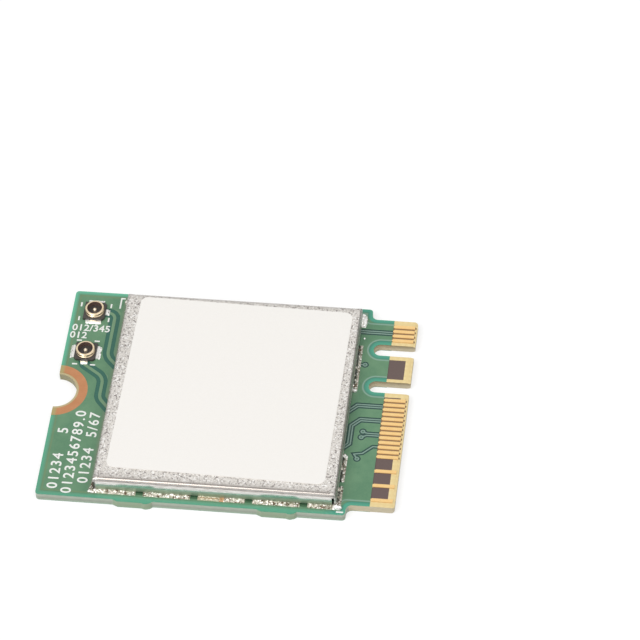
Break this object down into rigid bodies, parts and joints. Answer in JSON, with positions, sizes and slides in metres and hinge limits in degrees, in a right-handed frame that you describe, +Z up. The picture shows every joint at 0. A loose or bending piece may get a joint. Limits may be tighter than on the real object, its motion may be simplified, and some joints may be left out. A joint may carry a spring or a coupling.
{
  "type": "laptop wifi card",
  "caption": "Laptop wireless card with a gold card edge, a soldered shield can, coaxial antenna ports and a half-round screw notch.",
  "frame": {"origin": "centre of the 22 x 30 mm board outline on its underside", "axes": "+X along the card towards the gold contacts, +Z up out of the component side"},
  "size_m": [0.03, 0.0223, 0.0023],
  "materials": {
    "laminate": "matte glass-fibre laminate",
    "solder_mask": "satin green solder mask",
    "gold_plating": "polished gold plating",
    "copper_ring": "satin plated copper",
    "tinned_steel": "matt tin plating on folded sheet",
    "solder": "bright uneven solder",
    "label_paper": "matt blank paper label",
    "port_plastic": "moulded black plastic",
    "port_gold": "polished gold plating",
    "chip_plastic": "matte moulding compound",
    "lead_metal": "matt tin plating",
    "ceramic_part": "fired ceramic",
    "ferrite": "pressed ferrite",
    "resistor_body": "glazed resistive film on ceramic",
    "pad_rubber": "soft filled silicone pad",
    "white_ink": "printed ink"
  },
  "bodies": {
    "root": {"antenna_filter_bodies": "ceramic_part", "antenna_filter_ends": "lead_metal", "antenna_port_a_base": "port_plastic", "antenna_port_a_pin": "port_gold", "antenna_port_a_shell": "port_gold", "antenna_port_b_base": "port_plastic", "antenna_port_b_pin": "port_gold", "antenna_port_b_shell": "port_gold", "blank_label": "label_paper", "capacitor_bodies": "ceramic_part", "capacitor_ends": "lead_metal", "circuit_board": "laminate", "crystal_base": "ceramic_part", "crystal_lid": "tinned_steel", "edge_contacts_bottom": "gold_plating", "edge_contacts_top": "gold_plating", "front_end_chip_a": "chip_plastic", "front_end_chip_b": "chip_plastic", "memory_chip": "chip_plastic", "mounting_ring_bottom": "copper_ring", "mounting_ring_top": "copper_ring", "port_lands": "gold_plating", "port_solder": "solder", "power_inductor_bodies": "ferrite", "power_inductor_ends": "lead_metal", "power_regulator": "chip_plastic", "printed_marks": "white_ink", "radio_chip_body": "chip_plastic", "radio_chip_lands": "gold_plating", "radio_chip_leads": "lead_metal", "radio_chip_solder": "solder", "resistor_bodies": "resistor_body", "resistor_ends": "lead_metal", "shield_can": "tinned_steel", "shield_lands": "gold_plating", "shield_solder": "solder", "small_chip_lands": "gold_plating", "small_chip_leads": "lead_metal", "small_chip_solder": "solder", "solder_mask_bottom": "solder_mask", "solder_mask_top": "solder_mask", "thermal_pad": "pad_rubber", "two_ended_part_lands": "gold_plating", "two_ended_part_solder": "solder"}
  },
  "joints": []
}
